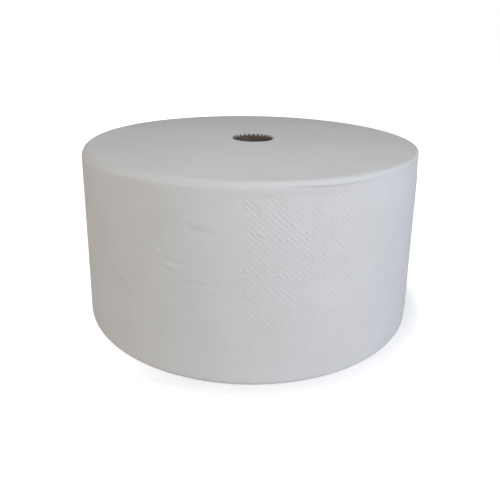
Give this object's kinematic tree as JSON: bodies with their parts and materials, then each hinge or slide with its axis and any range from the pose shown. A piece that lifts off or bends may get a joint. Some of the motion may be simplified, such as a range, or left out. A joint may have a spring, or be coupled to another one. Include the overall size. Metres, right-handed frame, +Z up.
{
  "type": "paper towel roll",
  "caption": "Wide roll of white embossed paper towel, wound on a toothed cardboard core that is open from end to end, standing on one end.",
  "frame": {"origin": "middle of the lower end of the roll, on the surface it stands on", "axes": "+Z up along the core, -Y towards the side that the picture shows, +X to its right"},
  "size_m": [0.3897, 0.3899, 0.2],
  "materials": {
    "paper": "matte, soft, embossed",
    "cardboard": "matte, spirally wound kraft board"
  },
  "bodies": {
    "root": {"paper_roll": "paper", "core_tube": "cardboard"}
  },
  "joints": []
}
